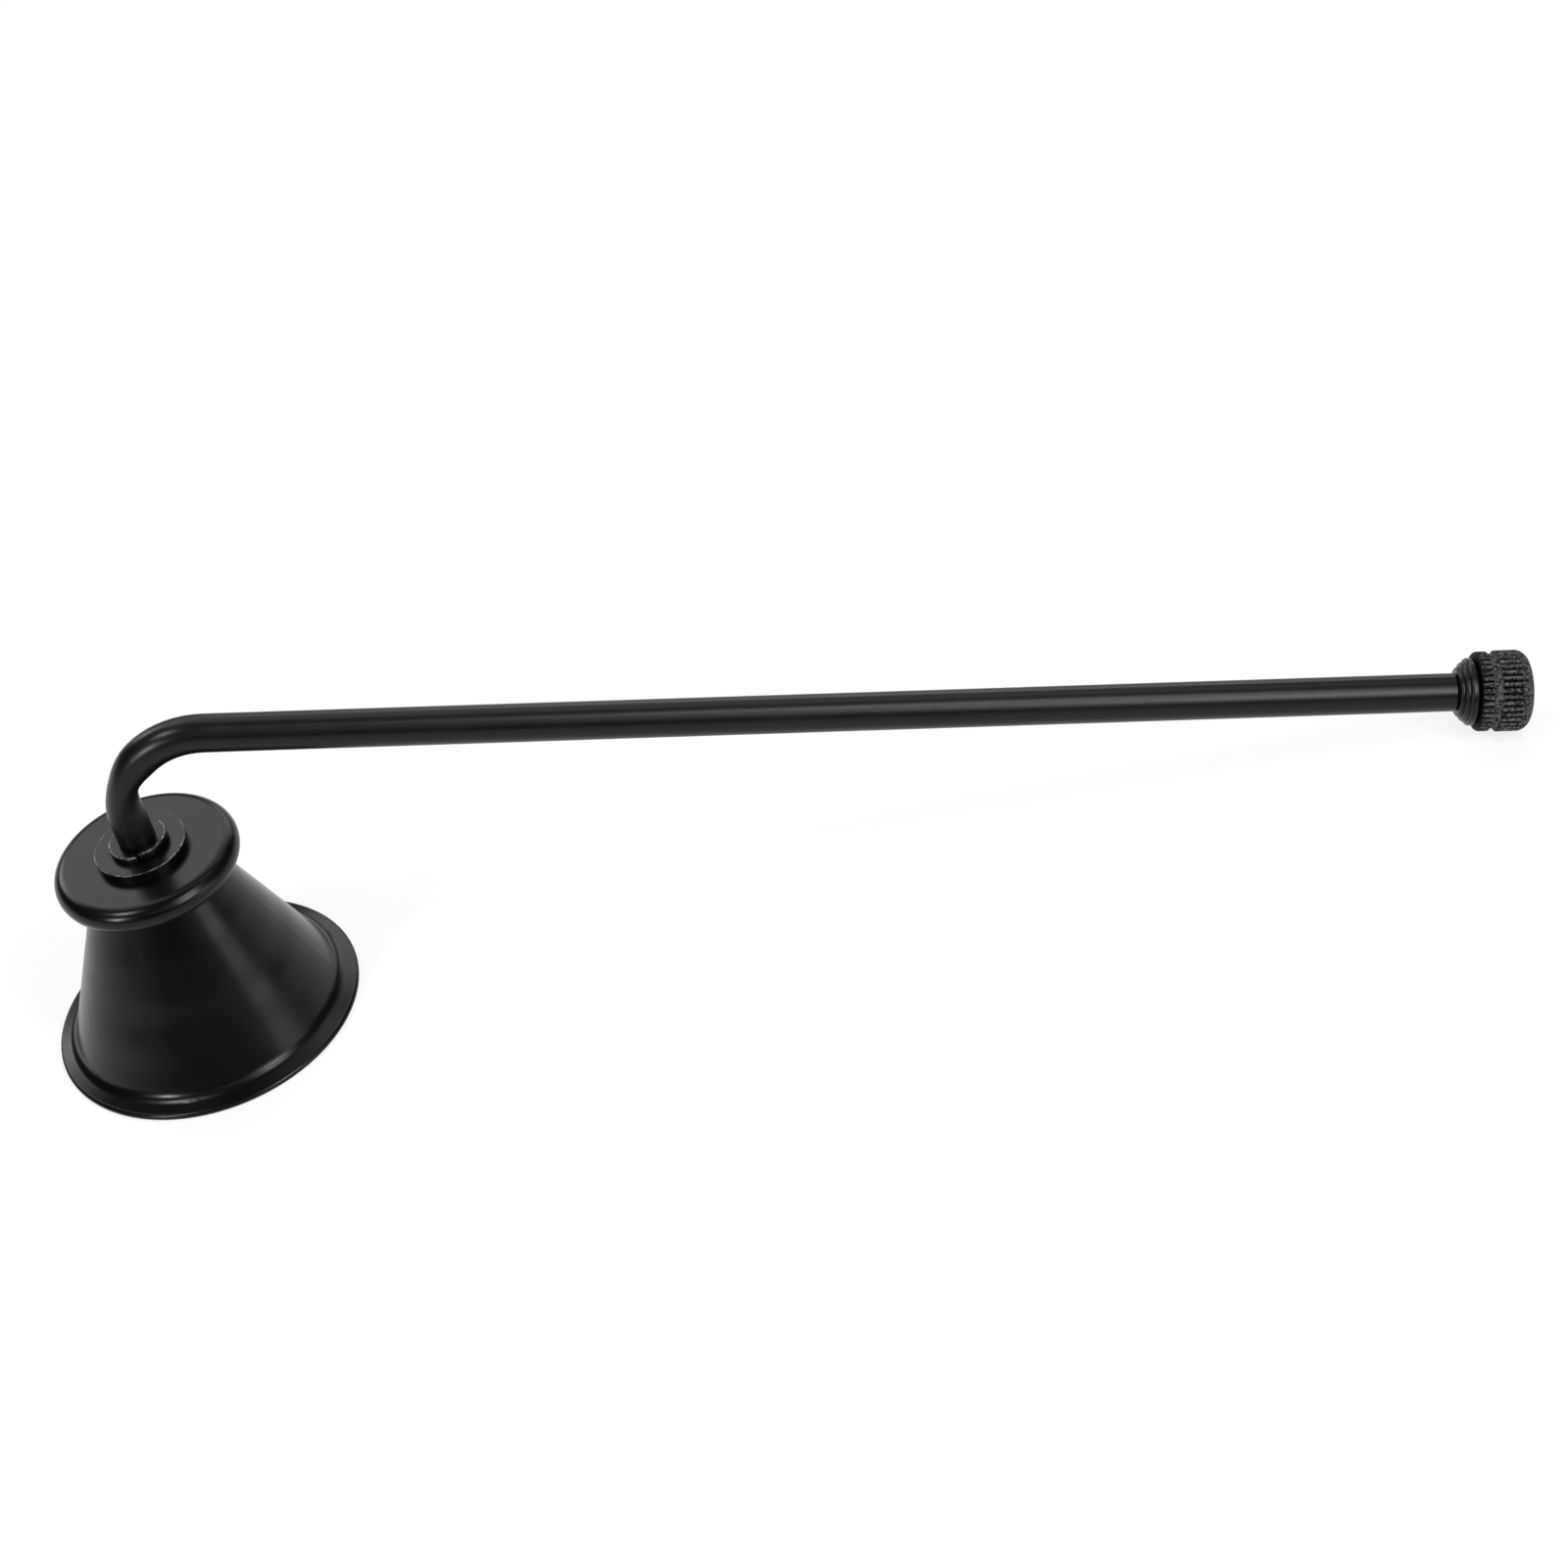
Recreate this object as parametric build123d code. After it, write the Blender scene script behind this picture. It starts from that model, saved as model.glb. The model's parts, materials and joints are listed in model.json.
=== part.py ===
"""Candle snuffer: a spun bell that swivels on a bent tube handle with a knurled end knob.

Millimetres, +Z up. The origin is the centre of the bell's rim plane, and the handle runs towards +X.
The snuffer stands on its rim and on the knob, so the handle slopes down to the knob.
"""
from build123d import *
from math import acos, atan2, cos, degrees, hypot, pi, radians, sin, tan
import os

# Handle tube, squeezed where its bend begins
TUBE_DIAMETER = 5.0
TUBE_WALL = 0.8
BEND_RADIUS = 10.9
LEG_LENGTH = 3.3
HANDLE_LENGTH = 161.7
FOOT_CHAMFER = 0.25
SQUEEZE_ARC = 55.0
SQUEEZE_INSIDE = 0.7
SQUEEZE_OUTSIDE = 0.3
SQUEEZE_BULGE = 0.2
SQUEEZE_STEPS = 8

# Threaded studs pressed into the tube's two ends
STUD_DIAMETER = 4.0
THREAD_DIAMETER = 3.6
THREAD_RELIEF = 0.2
BELL_STUD_TIP = 1.1
BELL_PLUG_LENGTH = 3.0
KNOB_THREAD_LENGTH = 5.0
KNOB_PLUG_LENGTH = 12.0
TIP_CHAMFER = 0.4

# Bell, spun from one sheet
BELL_SHEET = 1.0
BELL_HEIGHT = 29.0
DISC_DIAMETER = 25.0
DISC_THICKNESS = 3.8
NECK_DIAMETER = 16.5
NECK_FILLET = 0.4
RIM_DIAMETER = 41.6
FLANGE_WIDTH = 2.5
FLANGE_RISE = 0.75
FLARE_RADIUS = 2.0
FLANGE_THICKNESS = 0.9
MOUTH_ROUND = 0.5

# Washers and nut of the swivel
FLAT_WASHER_DIAMETER = 12.4
FLAT_WASHER_THICKNESS = 1.25
FLAT_WASHER_EDGE = 0.2
LOCK_WASHER_DIAMETER = 7.9
LOCK_WASHER_THICKNESS = 0.95
LOCK_WASHER_RISE = 0.4
LOCK_WASHER_EDGE = 0.35
LOCK_WASHER_GAP = 0.25
LOCK_WASHER_GAP_TURN = 274.0
INNER_WASHER_DIAMETER = 9.0
INNER_WASHER_THICKNESS = 0.8
NUT_FLATS = 7.0
NUT_HEIGHT = 3.2
NUT_CHAMFER_ANGLE = 30.0

# Ferrule between the tube and the knob: three steps, each with a rounded shoulder
FERRULE_STEPS = ((6.6, 0.55), (7.8, 0.6), (8.8, 1.2))
FERRULE_ROUND = 0.42

# End knob
KNOB_DIAMETER = 10.6
FRONT_BAND_DIAMETER = 10.4
FRONT_BAND_LENGTH = 1.65
KNOB_GROOVE_LENGTH = 1.15
MAIN_BAND_LENGTH = 4.35
FRONT_ROUND = 0.6
KNOB_ROUND = 1.8
DOME_RISE = 0.25
RIDGE_COUNT = 38
RIDGE_DEPTH = 0.35
GROOVE_MARGIN = 0.05
HOLE_TIP_ROOM = 0.4

# Clearances on the radius
PLUG_CLEARANCE = 0.02
SWIVEL_CLEARANCE = 0.05
SLIDE_CLEARANCE = 0.05
THREAD_CLEARANCE = 0.03
WASHER_CLEARANCE = 0.1

# Levels of the swivel stack above the rim plane
bell_ceiling = BELL_HEIGHT - BELL_SHEET
flat_washer_top = BELL_HEIGHT + FLAT_WASHER_THICKNESS
tube_foot = flat_washer_top + LOCK_WASHER_THICKNESS + LOCK_WASHER_RISE
bend_start = tube_foot + LEG_LENGTH
inner_washer_bottom = bell_ceiling - INNER_WASHER_THICKNESS
nut_bottom = inner_washer_bottom - NUT_HEIGHT
stud_bottom = nut_bottom - BELL_STUD_TIP

# Sizes along the handle, from the end of the bend
tube_bore = TUBE_DIAMETER / 2 - TUBE_WALL
ferrule_length = sum(length for diameter, length in FERRULE_STEPS)
knob_length = FRONT_BAND_LENGTH + KNOB_GROOVE_LENGTH + MAIN_BAND_LENGTH
knob_round_along = HANDLE_LENGTH + ferrule_length + knob_length - KNOB_ROUND
knob_round_across = KNOB_DIAMETER / 2 - KNOB_ROUND


def handle_slope():
    """Slope in degrees at which the knob's rounded edge just meets the rim plane."""
    across = BEND_RADIUS - knob_round_across
    reach = hypot(across, knob_round_along)
    return degrees(acos((KNOB_ROUND - bend_start) / reach) - atan2(knob_round_along, across))


def bend_plane(turn, shift=0):
    """Plane across the bend after a turn in degrees: Z along the tube, X away from the bend's centre."""
    angle = radians(turn)
    radius = BEND_RADIUS + shift
    place = (BEND_RADIUS - radius * cos(angle), 0, bend_start + radius * sin(angle))
    return Plane(place, x_dir=(-cos(angle), 0, sin(angle)), z_dir=(sin(angle), 0, cos(angle)))


def handle_end():
    """Plane at the tube's far end, with Z along the handle."""
    return bend_plane(90 + handle_slope()).offset(HANDLE_LENGTH)


def turned(*lines):
    """Solid turned about Z from the outline of its half section, radius first and height second."""
    return revolve(Plane.XZ * make_face(lines), Axis.Z)


def ring(diameter, bore, thickness, edge):
    """Washer that stands on the XY plane, with a rounded outer edge on top."""
    outer = diameter / 2
    inner = bore / 2
    section = FilletPolyline(
        (inner, 0), (outer, 0), (outer, thickness), (inner, thickness), radius=[0, 0, edge, 0], close=True
    )
    return turned(section)


def squeezed_section(turn, radius):
    """Oval section of the squeezed bend, flattest half way along the squeezed arc."""
    share = sin(pi * turn / SQUEEZE_ARC) ** 2
    squeeze = share * (SQUEEZE_INSIDE + SQUEEZE_OUTSIDE) / 2
    shift = share * (SQUEEZE_INSIDE - SQUEEZE_OUTSIDE) / 2
    return bend_plane(turn, shift) * Ellipse(radius - squeeze, radius + share * SQUEEZE_BULGE)


def bent_bar(radius):
    """Solid bar along the handle: upright leg, squeezed bend, round bend and straight handle."""
    bend_end = 90 + handle_slope()
    turns = [SQUEEZE_ARC * step / SQUEEZE_STEPS for step in range(SQUEEZE_STEPS + 1)]
    bend_axis = Axis((BEND_RADIUS, 0, bend_start), (0, 1, 0))
    leg = extrude(Plane.XY.offset(tube_foot) * Circle(radius), LEG_LENGTH)
    squeezed = loft([squeezed_section(turn, radius) for turn in turns])
    bend = revolve(bend_plane(SQUEEZE_ARC) * Circle(radius), bend_axis, bend_end - SQUEEZE_ARC)
    handle = extrude(bend_plane(bend_end) * Circle(radius), HANDLE_LENGTH)
    return leg + squeezed + bend + handle


def handle_tube():
    """Bent tube with a chamfered foot."""
    tube = bent_bar(TUBE_DIAMETER / 2) - bent_bar(tube_bore)
    foot_edge = tube.faces().sort_by(Axis.Z)[0].outer_wire().edges()
    return chamfer(foot_edge, FOOT_CHAMFER)


def threaded_stud(plug_length, plain_length, thread_length):
    """Stud along +Z: a plug below the XY plane, then a plain neck and a thinner thread."""
    plug = tube_bore - PLUG_CLEARANCE
    plain = STUD_DIAMETER / 2
    thread = THREAD_DIAMETER / 2
    end = plain_length + thread_length
    return turned(
        Polyline(
            (0, -plug_length),
            (plug - TIP_CHAMFER, -plug_length),
            (plug, TIP_CHAMFER - plug_length),
            (plug, 0),
            (plain, 0),
            (plain, plain_length),
            (thread, plain_length),
            (thread, end - TIP_CHAMFER),
            (thread - TIP_CHAMFER, end),
            (0, end),
            close=True,
        )
    )


def bell_stud():
    """Stud in the tube's foot that carries the bell, its washers and its nut."""
    plain = tube_foot - inner_washer_bottom - THREAD_RELIEF
    thread = tube_foot - stud_bottom - plain
    downwards = Plane((0, 0, tube_foot), x_dir=(1, 0, 0), z_dir=(0, 0, -1))
    return downwards * threaded_stud(BELL_PLUG_LENGTH, plain, thread)


def knob_stud():
    """Stud in the tube's far end that carries the ferrule and the knob."""
    plain = ferrule_length - THREAD_RELIEF
    return handle_end() * threaded_stud(KNOB_PLUG_LENGTH, plain, THREAD_RELIEF + KNOB_THREAD_LENGTH)


def bell():
    """Thin spun shell: round-edged top disc, tight neck, cone and a flaring flange with a flat underside."""
    hole = STUD_DIAMETER / 2 + SWIVEL_CLEARANCE
    edge = DISC_THICKNESS / 2
    disc_flat = DISC_DIAMETER / 2 - edge
    disc_bottom = BELL_HEIGHT - DISC_THICKNESS
    neck = NECK_DIAMETER / 2
    rim = RIM_DIAMETER / 2
    cone_foot = rim - FLANGE_WIDTH
    foot_height = FLANGE_THICKNESS + FLANGE_RISE
    flange_edge = FLANGE_THICKNESS / 2
    cone_slope = (cone_foot - neck) / (disc_bottom - foot_height)
    wall = BELL_SHEET * hypot(1, cone_slope)
    mouth = cone_foot - wall + foot_height * cone_slope
    inner_underside = disc_bottom + BELL_SHEET
    inner_neck = neck - BELL_SHEET * cone_slope - wall
    top = Line((hole, BELL_HEIGHT), (disc_flat, BELL_HEIGHT))
    disc_edge = ThreePointArc(top @ 1, (disc_flat + edge, BELL_HEIGHT - edge), (disc_flat, disc_bottom))
    outside = FilletPolyline(
        disc_edge @ 1,
        (neck, disc_bottom),
        (cone_foot, foot_height),
        (rim - flange_edge, FLANGE_THICKNESS),
        radius=[NECK_FILLET, FLARE_RADIUS],
    )
    rim_edge = ThreePointArc(outside @ 1, (rim, flange_edge), (rim - flange_edge, 0))
    inside = FilletPolyline(
        rim_edge @ 1,
        (mouth, 0),
        (inner_neck, inner_underside),
        (disc_flat, inner_underside),
        radius=[MOUTH_ROUND, 0],
    )
    inner_edge = ThreePointArc(
        inside @ 1, (disc_flat + edge - BELL_SHEET, BELL_HEIGHT - edge), (disc_flat, bell_ceiling)
    )
    ceiling = Line(inner_edge @ 1, (hole, bell_ceiling))
    bore = Line(ceiling @ 1, top @ 0)
    return turned(top, disc_edge, outside, rim_edge, inside, inner_edge, ceiling, bore)


def lock_washer():
    """Split spring washer, almost flat, whose ends stand apart by its rise."""
    inner = STUD_DIAMETER / 2 + WASHER_CLEARANCE
    outer = LOCK_WASHER_DIAMETER / 2
    middle = (inner + outer) / 2
    share = 1 - LOCK_WASHER_GAP / (2 * pi * middle)
    coil = Helix(LOCK_WASHER_RISE / share, LOCK_WASHER_RISE, middle, lefthand=True)
    outline = FilletPolyline(
        (inner, 0),
        (outer, 0),
        (outer, LOCK_WASHER_THICKNESS),
        (inner, LOCK_WASHER_THICKNESS),
        radius=[0, 0, LOCK_WASHER_EDGE, 0],
        close=True,
    )
    washer = sweep(Plane.XZ * make_face(outline), path=coil, is_frenet=True)
    half_gap = degrees(LOCK_WASHER_GAP / middle) / 2
    return Pos(0, 0, flat_washer_top) * Rot(0, 0, LOCK_WASHER_GAP_TURN - half_gap) * washer


def flat_washer():
    """Flat washer on top of the bell's disc."""
    bore = STUD_DIAMETER + 2 * WASHER_CLEARANCE
    washer = ring(FLAT_WASHER_DIAMETER, bore, FLAT_WASHER_THICKNESS, FLAT_WASHER_EDGE)
    return Pos(0, 0, BELL_HEIGHT) * washer


def inner_washer():
    """Washer under the bell's top sheet, its rounded edge facing the nut."""
    bore = STUD_DIAMETER + 2 * WASHER_CLEARANCE
    washer = ring(INNER_WASHER_DIAMETER, bore, INNER_WASHER_THICKNESS, FLAT_WASHER_EDGE)
    return Pos(0, 0, bell_ceiling) * Rot(180, 0, 0) * washer


def bell_nut():
    """Hexagon nut with its corners chamfered on both faces."""
    corner = NUT_FLATS / 2 / cos(pi / 6)
    face = NUT_FLATS / 2
    drop = (corner - face) * tan(radians(NUT_CHAMFER_ANGLE))
    bore = THREAD_DIAMETER / 2 + THREAD_CLEARANCE
    blank = extrude(RegularPolygon(corner, 6), NUT_HEIGHT)
    outline = Polyline(
        (bore, 0),
        (face, 0),
        (corner, drop),
        (corner, NUT_HEIGHT - drop),
        (face, NUT_HEIGHT),
        (bore, NUT_HEIGHT),
        close=True,
    )
    return Pos(0, 0, nut_bottom) * (blank & turned(outline))


def ferrule():
    """Collar in three growing steps, loose on the plain neck of the knob's stud."""
    bore = STUD_DIAMETER / 2 + SLIDE_CLEARANCE
    points = [(bore, 0)]
    rounds = [0]
    along = 0
    for diameter, length in FERRULE_STEPS:
        points += [(diameter / 2, along), (diameter / 2, along + length)]
        rounds += [FERRULE_ROUND, 0]
        along += length
    points.append((bore, along))
    rounds[-1] = FERRULE_ROUND
    rounds.append(0)
    return handle_end() * turned(FilletPolyline(*points, radius=rounds, close=True))


def ridge_prism(root, length):
    """Star-shaped prism whose square V grooves cut the knob's ridges."""
    half_pitch = pi * root / RIDGE_COUNT
    tip = root + half_pitch
    corners = []
    for step in range(2 * RIDGE_COUNT):
        radius = tip if step % 2 else root
        turn = pi * step / RIDGE_COUNT
        corners.append((radius * cos(turn), radius * sin(turn)))
    return extrude(make_face(Polyline(*corners, close=True)), length)


def end_knob():
    """Knurled knob: narrow ridged band, smooth groove, wide ridged band and a low domed end."""
    front = FRONT_BAND_DIAMETER / 2
    main = KNOB_DIAMETER / 2
    root = main - RIDGE_DEPTH
    groove = root - GROOVE_MARGIN
    groove_start = FRONT_BAND_LENGTH
    groove_end = groove_start + KNOB_GROOVE_LENGTH
    hole = THREAD_DIAMETER / 2 + THREAD_CLEARANCE
    hole_depth = KNOB_THREAD_LENGTH + HOLE_TIP_ROOM
    side = FilletPolyline(
        (0, 0),
        (front, 0),
        (front, groove_start),
        (groove, groove_start),
        (groove, groove_end),
        (main, groove_end),
        (main, knob_length - KNOB_ROUND),
        radius=[FRONT_ROUND, 0, 0, 0, 0],
    )
    corner = JernArc(side @ 1, (0, 1), KNOB_ROUND, 90)
    dome = TangentArc((0, knob_length + DOME_RISE), corner @ 1, tangent=(1, 0))
    axis = Line(dome @ 0, side @ 0)
    knob = turned(side, corner, dome, axis) & ridge_prism(root, knob_length + DOME_RISE)
    knob -= extrude(Circle(hole), hole_depth)
    return handle_end() * Pos(0, 0, ferrule_length) * knob


PIECES = {
    "handle_tube": handle_tube,
    "bell_stud": bell_stud,
    "knob_stud": knob_stud,
    "lock_washer": lock_washer,
    "flat_washer": flat_washer,
    "bell": bell,
    "inner_washer": inner_washer,
    "bell_nut": bell_nut,
    "ferrule": ferrule,
    "end_knob": end_knob,
}

os.makedirs("parts", exist_ok=True)
for name, make in PIECES.items():
    export_step(make(), f"parts/{name}.step")
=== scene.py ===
"""Candle snuffer in satin black, standing on its rim and its knurled knob on a pale floor."""
import bpy
import json
from math import radians
from mathutils import Matrix, Vector

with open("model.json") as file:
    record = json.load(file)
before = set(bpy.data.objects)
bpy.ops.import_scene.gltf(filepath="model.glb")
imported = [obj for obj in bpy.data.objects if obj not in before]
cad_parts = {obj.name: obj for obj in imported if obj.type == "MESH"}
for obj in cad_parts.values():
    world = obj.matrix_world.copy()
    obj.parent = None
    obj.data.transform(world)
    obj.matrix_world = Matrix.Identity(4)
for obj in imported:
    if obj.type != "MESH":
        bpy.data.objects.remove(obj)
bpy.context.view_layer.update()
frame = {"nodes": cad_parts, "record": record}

# Camera: places in metres, roll in degrees, lens and sensor in millimetres, shift as a share of the picture
CAMERA_PLACE = Vector((0.1229, -0.4021, 0.3465))
CAMERA_TARGET = Vector((0.0830, -0.0082, 0.0200))
CAMERA_ROLL = -16.235
LENS_MM = 91.9
SENSOR_MM = 36.0
SHIFT_UP = 0.01284

# Floor and surroundings: lengths in metres, the floor's drop below the rim among them
FLOOR_HALF_WIDTH = 20.0
FLOOR_DROP = 0.00005
FLOOR_COLOUR = (0.92, 0.92, 0.92, 1.0)
FLOOR_ROUGHNESS = 0.9
FLOOR_GLOW_SHARE = 0.78
WORLD_COLOUR = (0.03, 0.03, 0.03, 1.0)

# Lamps: place, width and height in metres, power in watts
LIT_POINT = Vector((0.06, 0.0, 0.02))
LAMPS = {
    "back_lamp": (Vector((-0.12, 0.79, 0.64)), 1.45, 0.40, 4.3),
    "back_low_lamp": (Vector((0.32, 0.85, 0.30)), 0.60, 0.22, 0.9),
    "back_left_lamp": (Vector((-0.62, 0.78, 0.50)), 0.30, 0.30, 1.2),
    "overhead_lamp": (Vector((0.15, 0.38, 0.85)), 1.10, 0.40, 2.25),
    "top_left_lamp": (Vector((-0.35, -0.18, 0.78)), 0.12, 0.12, 2.0),
    "right_lamp": (Vector((0.31, -0.24, 0.56)), 0.18, 0.14, 1.0),
    "low_right_lamp": (Vector((0.59, -0.27, 0.11)), 0.25, 0.14, 0.40),
    "front_lamp": (Vector((0.36, -0.34, 0.32)), 0.20, 0.20, 1.4),
    "front_fill": (Vector((0.15, -0.60, 0.52)), 0.50, 0.30, 0.22),
    "left_strip": (Vector((-0.43, -0.47, 0.32)), 0.08, 0.12, 1.9),
}

# Smooth coat of the tube, the ferrule and the bell: width of its patches and of its orange peel
COAT_CLOUD = 0.012
COAT_PEEL = 0.0006
PEEL_STRENGTH = 0.25
SATIN_COLOURS = ((0.0015, 0.0015, 0.0016), (0.0030, 0.0030, 0.0032))
SATIN_ROUGHNESS = (0.31, 0.36)
SATIN_GLOSS = 0.26
SPUN_COLOURS = ((0.0012, 0.0012, 0.0013), (0.0022, 0.0022, 0.0024))
SPUN_ROUGHNESS = (0.23, 0.28)
SPUN_GLOSS = 0.235

# Rings that spinning leaves on the bell: spacing, depth, and their stretch, which is widest across the axis
SPUN_RING = 0.008
SPUN_DEPTH = 0.0004
SPUN_STRETCH = (0.25, 0.25, 1.0)

# Washers: widths of patches, grain and breaks in the pale upper edges
WASHER_CLOUD = 0.004
WASHER_GRAIN = 0.0004
WASHER_BREAK = 0.0008
# Dark coat, and the pale colour of the upper edges, which is wear and painted highlight
WASHER_COLOURS = ((0.0012, 0.0012, 0.0013), (0.24, 0.24, 0.24))
WASHER_ROUGHNESS = (0.20, 0.28)
WASHER_GLOSS = 0.235

# Pale colour of the washers: least and most on upper edges, where it is wear and painted highlight, and on
# faces, where it is wear, and where breaks begin and are full
EDGE_WEAR_AND_SHEEN = (0.1, 1.0)
FACE_WEAR = (0.0, 0.01)
BREAK_RANGE = (0.4, 0.6)

# Upward share of the normal on the washers' pale upper edges, which are worn and carry a painted highlight,
# as middle and half width
WEAR_AND_SHEEN_SLOPE = (0.82, 0.14)

# Blackened steel: widths of patches and grain
STEEL_CLOUD = 0.003
STEEL_GRAIN = 0.00025
STEEL_COLOURS = ((0.05, 0.05, 0.052), (0.10, 0.10, 0.104))
STEEL_ROUGHNESS = (0.30, 0.45)

# Grain of the coats and the steel: depth, and strength on washers and steel
GRAIN_DEPTH = 0.00002
GRAIN_STRENGTH = 0.3

# Thread of the studs: its pitch, and the radii between which the thread gives way to the plain neck
THREAD_PITCH = 0.0007
THREAD_TO_NECK = (0.00185, 0.00195)

# Knob's sandy coat: width and depth of the sand, and the share of noise at its dark colour and at its light
# one, which paints glints on the grain
SAND_WIDTH = 0.00036
SAND_DEPTH = 0.00016
SAND_HARSHNESS = 0.7
SAND_RANGE = (0.40, 0.65)
SAND_AND_GLINT_COLOURS = ((0.0015, 0.0015, 0.0016), (0.1700, 0.1700, 0.1730))
SAND_ROUGHNESS = (0.40, 0.60)
SAND_GLOSS = 0.04

# Painted shade between the knob's ridges: radii where it begins to lift and is gone, and the plain
# stretches, as middle and half length
GROOVE_SHADE_RADII = (0.00500, 0.00530)
KNOB_GROOVE = (0.00223, 0.00058)
KNOB_END = (0.00690, 0.00140)
# Share of the colour kept on the plain stretches under the painted shade
KNOB_PLAIN_UNSHADED = 0.65


def joint_line(name):
    """Point and direction of a joint's axis."""
    joint = next(joint for joint in frame["record"]["behaviour"]["joints"] if joint["name"] == name)
    return joint["pos_m"], joint["axis"]


def node_tree(name):
    """New material with its nodes and its shader."""
    material = bpy.data.materials.new(name)
    material.use_nodes = True
    tree = material.node_tree
    return material, tree, tree.nodes["Principled BSDF"]


def coordinates(tree, kind):
    """Coordinates of the given kind at each point of the surface."""
    return tree.nodes.new("ShaderNodeTexCoord").outputs[kind]


def noise(tree, place, size, detail=3.0, roughness=0.5):
    """Noise whose features are about size metres wide."""
    node = tree.nodes.new("ShaderNodeTexNoise")
    node.inputs["Scale"].default_value = 1.0 / size
    node.inputs["Detail"].default_value = detail
    node.inputs["Roughness"].default_value = roughness
    tree.links.new(place, node.inputs["Vector"])
    return node.outputs["Fac"]


def spread(tree, value, low, high, start=0.3, end=0.7):
    """Value stretched from start and end to low and high."""
    node = tree.nodes.new("ShaderNodeMapRange")
    tree.links.new(value, node.inputs["Value"])
    node.inputs["From Min"].default_value = start
    node.inputs["From Max"].default_value = end
    node.inputs["To Min"].default_value = low
    node.inputs["To Max"].default_value = high
    return node.outputs["Result"]


def tones(tree, value, colours, start=0.3, end=0.7):
    """Colour that goes from a dark one at start to a light one at end."""
    node = tree.nodes.new("ShaderNodeValToRGB")
    tree.links.new(value, node.inputs["Fac"])
    for stop, position, colour in zip(node.color_ramp.elements, (start, end), colours):
        stop.position = position
        stop.color = (*colour, 1.0)
    return node.outputs["Color"]


def bump(tree, height, depth=1.0, strength=1.0, base=None):
    """Relief that stands depth metres high where height is one, on top of another one if given."""
    node = tree.nodes.new("ShaderNodeBump")
    node.inputs["Distance"].default_value = depth
    node.inputs["Strength"].default_value = strength
    tree.links.new(height, node.inputs["Height"])
    if base is not None:
        tree.links.new(base, node.inputs["Normal"])
    return node.outputs["Normal"]


def joined(tree, operation, first, second):
    """Two linked values joined by an operation."""
    node = tree.nodes.new("ShaderNodeMath")
    node.operation = operation
    tree.links.new(first, node.inputs[0])
    tree.links.new(second, node.inputs[1])
    return node.outputs["Value"]


def within(tree, value, stretch):
    """One inside a stretch given by its middle and half length, nought outside."""
    middle, half_length = stretch
    node = tree.nodes.new("ShaderNodeMath")
    node.operation = "COMPARE"
    tree.links.new(value, node.inputs[0])
    node.inputs[1].default_value = middle
    node.inputs[2].default_value = half_length
    return node.outputs["Value"]


def vector_step(tree, operation, vector, fixed=None):
    """Outputs of an operation on a linked vector and, where it takes two, a fixed one."""
    node = tree.nodes.new("ShaderNodeVectorMath")
    node.operation = operation
    tree.links.new(vector, node.inputs[0])
    if fixed is not None:
        node.inputs[1].default_value = fixed
    return node.outputs


def dimmed(tree, colour, share):
    """Linked colour times a linked share."""
    node = tree.nodes.new("ShaderNodeVectorMath")
    node.operation = "SCALE"
    tree.links.new(colour, node.inputs[0])
    tree.links.new(share, node.inputs["Scale"])
    return node.outputs["Vector"]


def around(tree, place, point, axis):
    """Distance along an axis through a point, and distance from that axis."""
    offset = vector_step(tree, "SUBTRACT", place, point)["Vector"]
    along = vector_step(tree, "DOT_PRODUCT", offset, axis)["Value"]
    across = vector_step(tree, "CROSS_PRODUCT", offset, axis)["Vector"]
    radius = vector_step(tree, "LENGTH", across)["Value"]
    return along, radius


def lay_coat(tree, shader, colour, roughness, relief):
    """Links a coat's colour, roughness and relief to its shader."""
    tree.links.new(colour, shader.inputs["Base Color"])
    tree.links.new(roughness, shader.inputs["Roughness"])
    tree.links.new(relief, shader.inputs["Normal"])


def satin_black():
    """Smooth satin black coat with a faint orange peel."""
    material, tree, shader = node_tree("satin_black_coat")
    place = coordinates(tree, "Object")
    cloud = noise(tree, place, COAT_CLOUD)
    peel = noise(tree, place, COAT_PEEL, detail=4.0)
    colour = tones(tree, cloud, SATIN_COLOURS)
    roughness = spread(tree, cloud, *SATIN_ROUGHNESS)
    relief = bump(tree, peel, GRAIN_DEPTH, PEEL_STRENGTH)
    lay_coat(tree, shader, colour, roughness, relief)
    shader.inputs["Specular IOR Level"].default_value = SATIN_GLOSS
    return material


def spun_black():
    """The same coat, glossier over thin sheet that keeps faint rings from spinning."""
    material, tree, shader = node_tree("spun_black_coat")
    place = coordinates(tree, "Object")
    cloud = noise(tree, place, COAT_CLOUD)
    peel = noise(tree, place, COAT_PEEL, detail=4.0)
    stretched = vector_step(tree, "MULTIPLY", place, SPUN_STRETCH)["Vector"]
    rings = bump(tree, noise(tree, stretched, SPUN_RING, detail=1.0), SPUN_DEPTH)
    colour = tones(tree, cloud, SPUN_COLOURS)
    roughness = spread(tree, cloud, *SPUN_ROUGHNESS)
    relief = bump(tree, peel, GRAIN_DEPTH, PEEL_STRENGTH, rings)
    lay_coat(tree, shader, colour, roughness, relief)
    shader.inputs["Specular IOR Level"].default_value = SPUN_GLOSS
    return material


def upper_edges(tree):
    """One on rounded upper edges, nought on level and upright faces."""
    normal = coordinates(tree, "Normal")
    upward = vector_step(tree, "DOT_PRODUCT", normal, (0.0, 0.0, 1.0))["Value"]
    return within(tree, upward, WEAR_AND_SHEEN_SLOPE)


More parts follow.
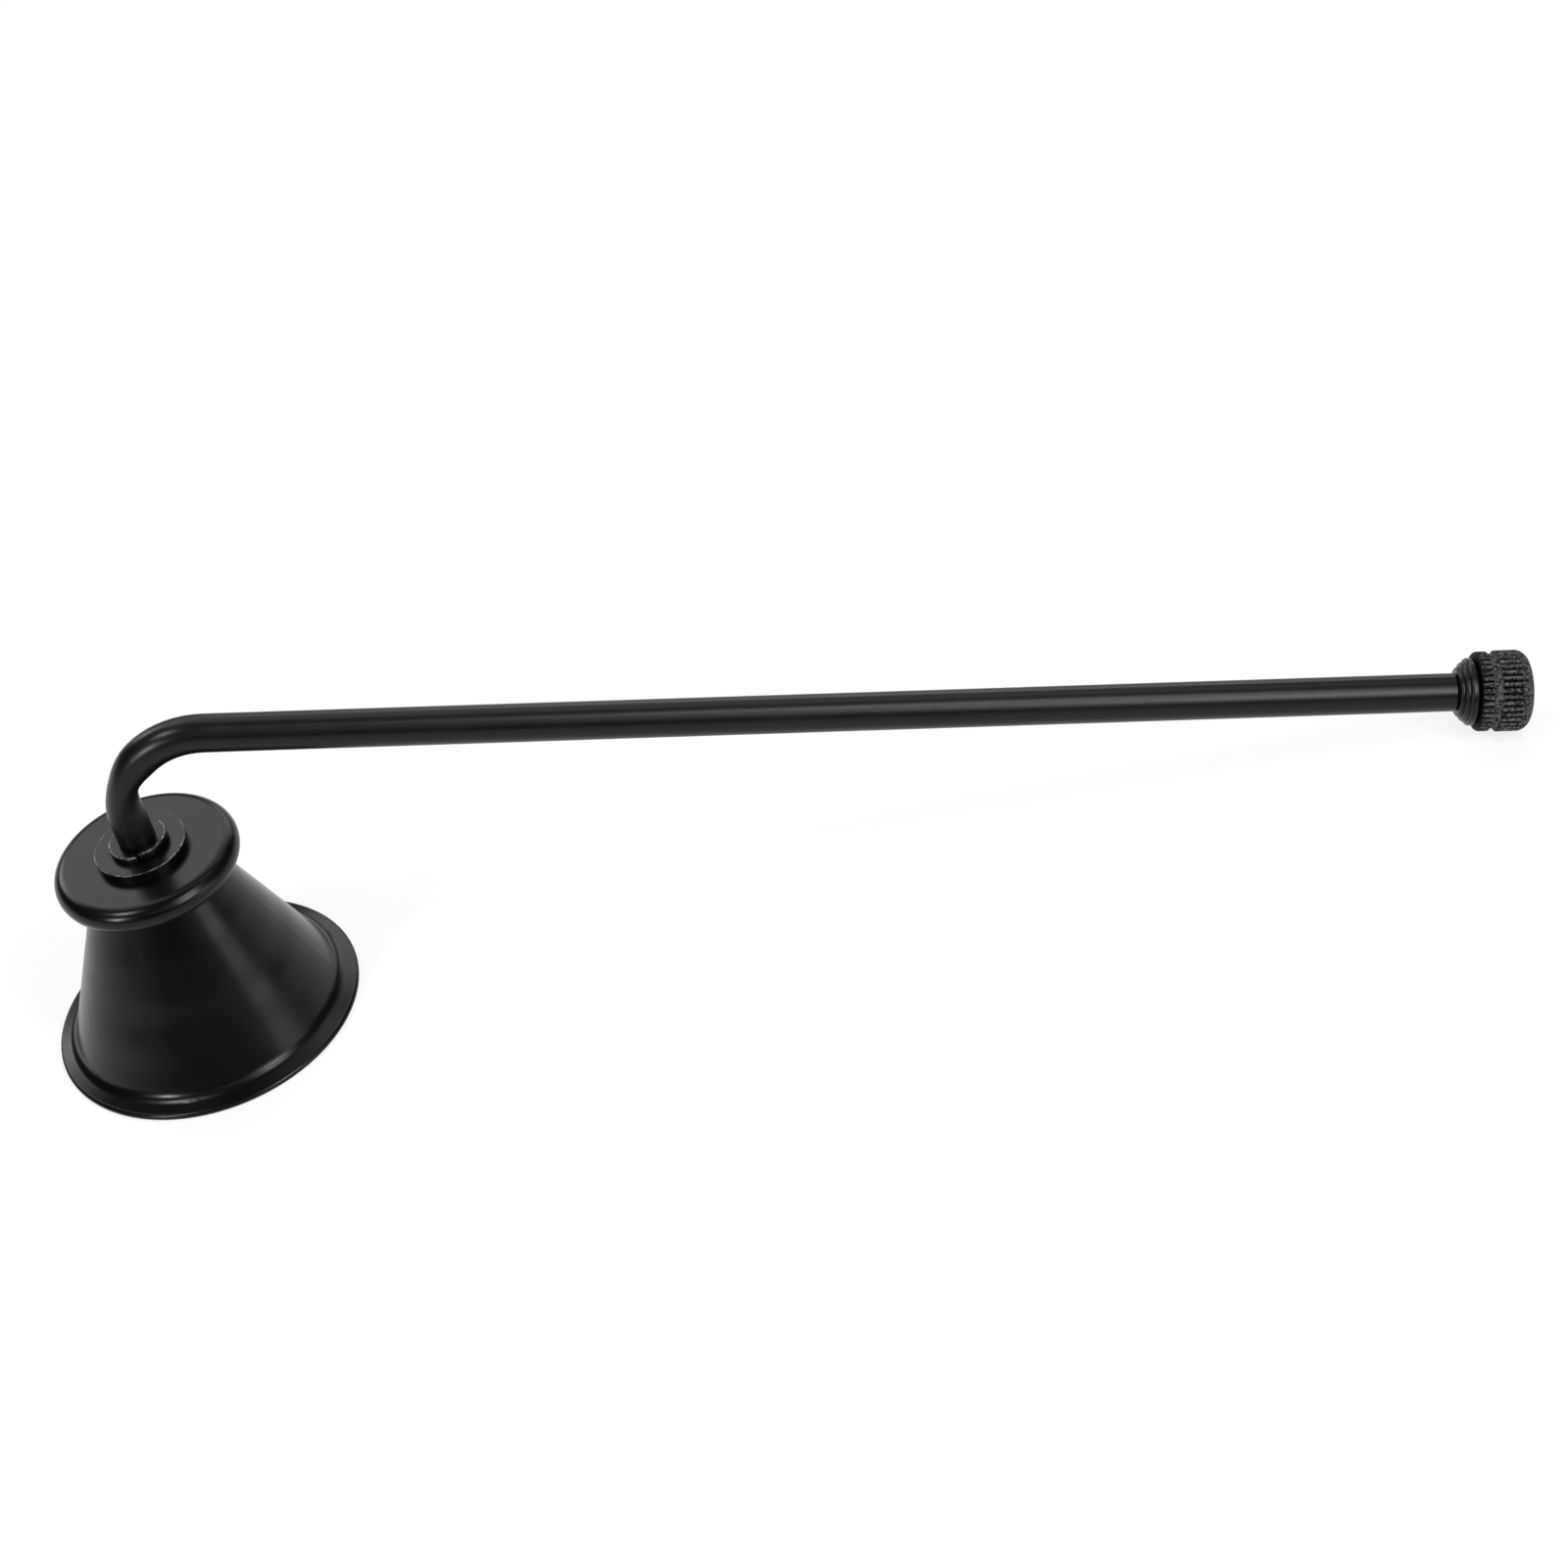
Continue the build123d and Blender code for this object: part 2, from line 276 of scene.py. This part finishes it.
def washer_black():
    """Half-gloss black coat, pale along the upper edges, where it is worn through to bright steel and
    carries a painted highlight.
    """
    material, tree, shader = node_tree("washer_black_coat")
    place = coordinates(tree, "Object")
    cloud = noise(tree, place, WASHER_CLOUD)
    grain = noise(tree, place, WASHER_GRAIN, detail=4.0)
    # Wear and painted highlight: pale colour on upward-facing rounded edges, broken up by noise
    breaks = spread(tree, noise(tree, place, WASHER_BREAK), *EDGE_WEAR_AND_SHEEN, *BREAK_RANGE)
    edge_wear_and_sheen = joined(tree, "MULTIPLY", upper_edges(tree), breaks)
    wear_and_sheen = joined(tree, "MAXIMUM", edge_wear_and_sheen, spread(tree, cloud, *FACE_WEAR))
    colour = tones(tree, wear_and_sheen, WASHER_COLOURS, 0.0, 1.0)
    roughness = spread(tree, cloud, *WASHER_ROUGHNESS)
    relief = bump(tree, grain, GRAIN_DEPTH, GRAIN_STRENGTH)
    lay_coat(tree, shader, colour, roughness, relief)
    shader.inputs["Specular IOR Level"].default_value = WASHER_GLOSS
    return material


def knob_black():
    """Rough sandy black coat with painted glints on its grain, and painted shade between the ridges that
    lifts towards the crests.
    """
    material, tree, shader = node_tree("knob_black_coat")
    place = coordinates(tree, "Object")
    along, radius = around(tree, place, *joint_line("knob_turn"))
    # Painted shade: colour darkened between the ridges by the distance from the axis, less on the plain
    # stretches
    unshaded = spread(tree, radius, 0.0, 1.0, *GROOVE_SHADE_RADII)
    for stretch in (KNOB_GROOVE, KNOB_END):
        plain = spread(tree, within(tree, along, stretch), 0.0, KNOB_PLAIN_UNSHADED, 0.0, 1.0)
        unshaded = joined(tree, "MAXIMUM", unshaded, plain)
    sand = noise(tree, place, SAND_WIDTH, roughness=SAND_HARSHNESS)
    # The sand's light colour paints glints on the grain
    colour = dimmed(tree, tones(tree, sand, SAND_AND_GLINT_COLOURS, *SAND_RANGE), unshaded)
    roughness = spread(tree, sand, *SAND_ROUGHNESS)
    relief = bump(tree, sand, SAND_DEPTH)
    lay_coat(tree, shader, colour, roughness, relief)
    shader.inputs["Specular IOR Level"].default_value = SAND_GLOSS
    return material


def thread_height(tree, place, point, axis):
    """Height of the thread's rings in metres, nought on the neck."""
    along, radius = around(tree, place, point, axis)
    highest = spread(tree, radius, THREAD_PITCH / 2, 0.0, *THREAD_TO_NECK)
    return joined(tree, "PINGPONG", along, highest)


def dark_steel(name, thread_line=None):
    """Blackened steel with a fine grain, threaded along a line if one is given."""
    material, tree, shader = node_tree(name)
    place = coordinates(tree, "Object")
    cloud = noise(tree, place, STEEL_CLOUD)
    grain = noise(tree, place, STEEL_GRAIN, detail=5.0)
    colour = tones(tree, cloud, STEEL_COLOURS)
    roughness = spread(tree, grain, *STEEL_ROUGHNESS)
    relief = bump(tree, grain, GRAIN_DEPTH, GRAIN_STRENGTH)
    if thread_line is not None:
        relief = bump(tree, thread_height(tree, place, *thread_line), base=relief)
    lay_coat(tree, shader, colour, roughness, relief)
    shader.inputs["Metallic"].default_value = 1.0
    return material


def dress_nodes(materials):
    """Gives every solid its own material, or that of its slot."""
    for part in frame["record"]["subparts"]:
        piece = frame["nodes"][part["node"]]
        piece.data.materials.clear()
        piece.data.materials.append(materials.get(part["node"], materials[part["material_slot"]]))


def pale_floor():
    """Matt white with a share of glow, which leaves the object's shadow on it."""
    material, tree, shader = node_tree("pale_floor")
    shader.inputs["Base Color"].default_value = FLOOR_COLOUR
    shader.inputs["Roughness"].default_value = FLOOR_ROUGHNESS
    shader.inputs["Specular IOR Level"].default_value = 0.0
    glow = tree.nodes.new("ShaderNodeEmission")
    glow.inputs["Strength"].default_value = 1.0
    rays = tree.nodes.new("ShaderNodeLightPath")
    seen = rays.outputs["Is Camera Ray"]
    for kind in ("Is Glossy Ray", "Is Transmission Ray"):
        seen = joined(tree, "MAXIMUM", seen, rays.outputs[kind])
    mix = tree.nodes.new("ShaderNodeMixShader")
    tree.links.new(spread(tree, seen, 0.0, FLOOR_GLOW_SHARE, 0.0, 1.0), mix.inputs["Fac"])
    tree.links.new(shader.outputs[0], mix.inputs[1])
    tree.links.new(glow.outputs[0], mix.inputs[2])
    tree.links.new(mix.outputs[0], tree.nodes["Material Output"].inputs["Surface"])
    return material


def floor():
    """Level floor just below the rim."""
    half = FLOOR_HALF_WIDTH
    corners = [(x * half, y * half, -FLOOR_DROP) for x, y in ((-1, -1), (1, -1), (1, 1), (-1, 1))]
    mesh = bpy.data.meshes.new("floor")
    mesh.from_pydata(corners, [], [(0, 1, 2, 3)])
    mesh.materials.append(pale_floor())
    piece = bpy.data.objects.new("floor", mesh)
    bpy.context.scene.collection.objects.link(piece)


def lamp(name, place, width, height, power):
    """Rectangular soft lamp turned to the object."""
    data = bpy.data.lights.new(name, "AREA")
    data.shape = "RECTANGLE"
    data.size = width
    data.size_y = height
    data.energy = power
    piece = bpy.data.objects.new(name, data)
    piece.location = place
    piece.rotation_mode = "QUATERNION"
    piece.rotation_quaternion = (place - LIT_POINT).to_track_quat("Z", "Y")
    bpy.context.scene.collection.objects.link(piece)


def surroundings():
    """Even dim light from all round."""
    world = bpy.data.worlds.new("studio")
    world.use_nodes = True
    world.node_tree.nodes["Background"].inputs["Color"].default_value = WORLD_COLOUR
    bpy.context.scene.world = world


def camera():
    """Camera above the handle's front, turned about its own axis to level the handle in the picture."""
    data = bpy.data.cameras.new("camera")
    data.sensor_width = SENSOR_MM
    data.lens = LENS_MM
    data.shift_y = SHIFT_UP
    piece = bpy.data.objects.new("camera", data)
    level = (CAMERA_TARGET - CAMERA_PLACE).to_track_quat("-Z", "Y").to_matrix()
    turned = level @ Matrix.Rotation(radians(CAMERA_ROLL), 3, "Z")
    piece.matrix_world = Matrix.Translation(CAMERA_PLACE) @ turned.to_4x4()
    bpy.context.scene.collection.objects.link(piece)
    bpy.context.scene.camera = piece


dress_nodes(
    {
        "satin_black": satin_black(),
        "washer_black": washer_black(),
        "knob_black": knob_black(),
        "dark_steel": dark_steel("blackened_steel"),
        "bell": spun_black(),
        "bell_stud": dark_steel("bell_stud_steel", joint_line("bell_swivel")),
        "knob_stud": dark_steel("knob_stud_steel", joint_line("knob_turn")),
    }
)
floor()
surroundings()
for lamp_name, settings in LAMPS.items():
    lamp(lamp_name, *settings)
camera()
bpy.context.scene.view_settings.view_transform = "Standard"
